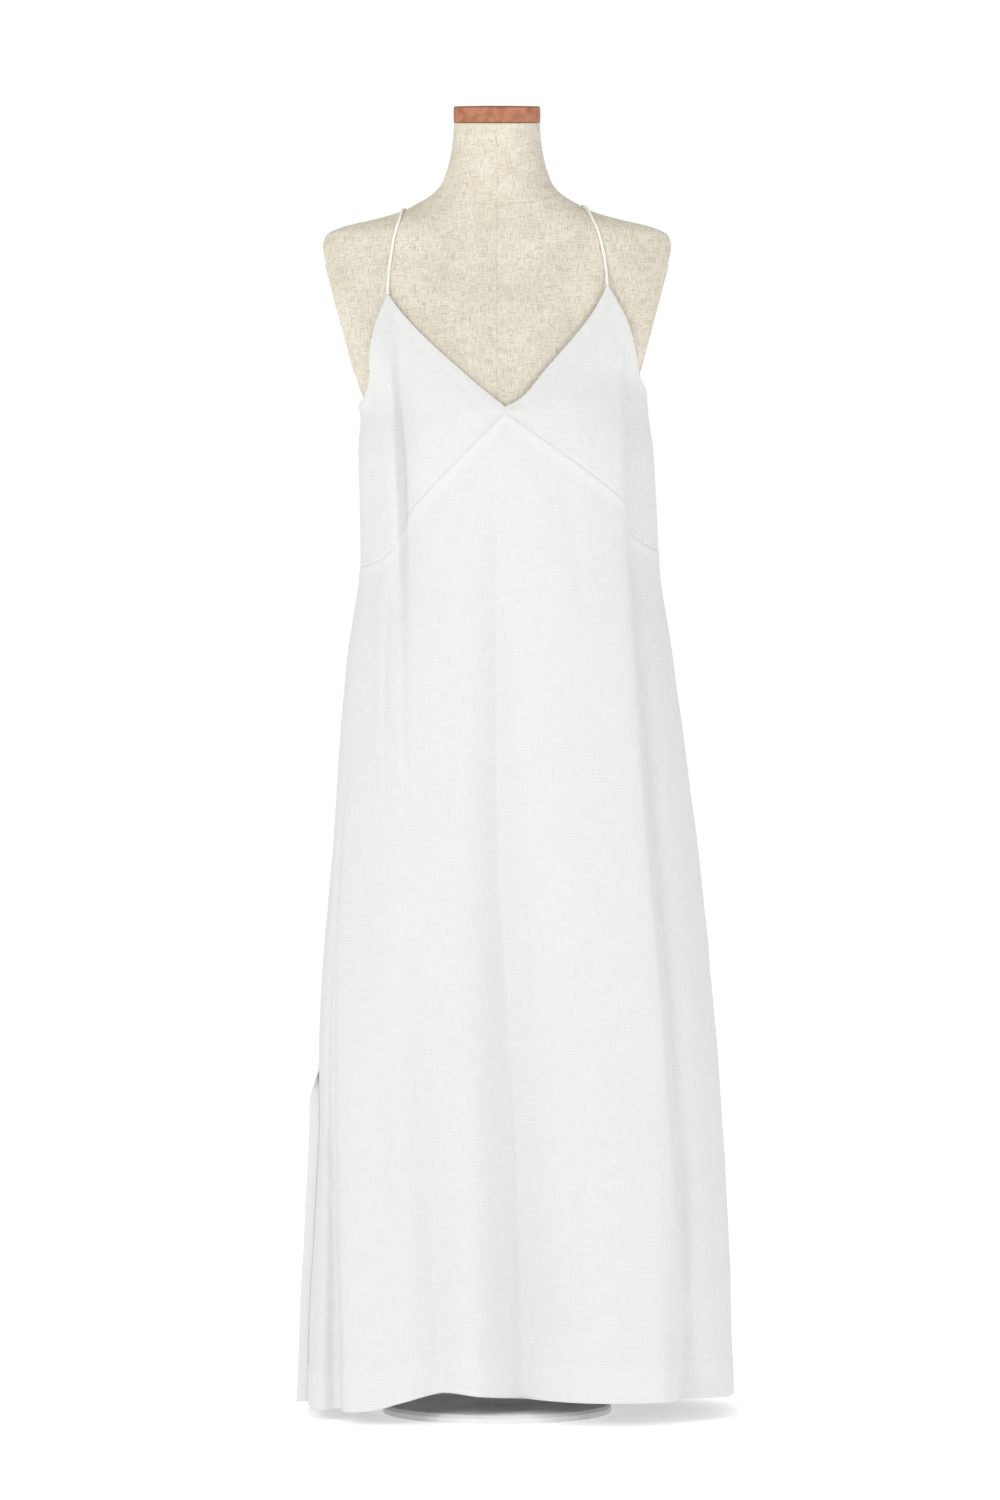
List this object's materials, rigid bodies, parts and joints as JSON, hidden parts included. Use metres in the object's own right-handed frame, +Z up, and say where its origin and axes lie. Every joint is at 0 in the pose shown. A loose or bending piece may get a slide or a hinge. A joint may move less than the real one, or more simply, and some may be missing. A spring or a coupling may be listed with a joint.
{
  "type": "sundress on a dress form",
  "caption": "Sleeveless linen slip sundress with a V neck, crossed narrow straps and a side slit, worn by a limbless dress form on a low round stand.",
  "frame": {"origin": "centre of the stand's round foot, on the surface it rests on", "axes": "+Z up along the stand's pole, the dress's front faces -Y, +X is to the right as seen from the front"},
  "size_m": [0.4599, 0.31, 1.373],
  "materials": {
    "white_linen": "plain-woven white linen, washed, faintly creased, matt",
    "natural_linen": "unbleached slubby linen stretched smooth over the form, matt",
    "tan_leather": "tan leather band, satin, with darker edges",
    "pale_enamel": "pale satin enamel on steel"
  },
  "bodies": {
    "root": {"cup_left": "white_linen", "cup_right": "white_linen", "skirt_front": "white_linen", "back_panel": "white_linen", "strap_left": "white_linen", "strap_right": "white_linen", "form_torso": "natural_linen", "arm_plate_left": "natural_linen", "arm_plate_right": "natural_linen", "neck_cap": "tan_leather", "stand_pole": "pale_enamel", "stand_base": "pale_enamel"}
  },
  "joints": []
}
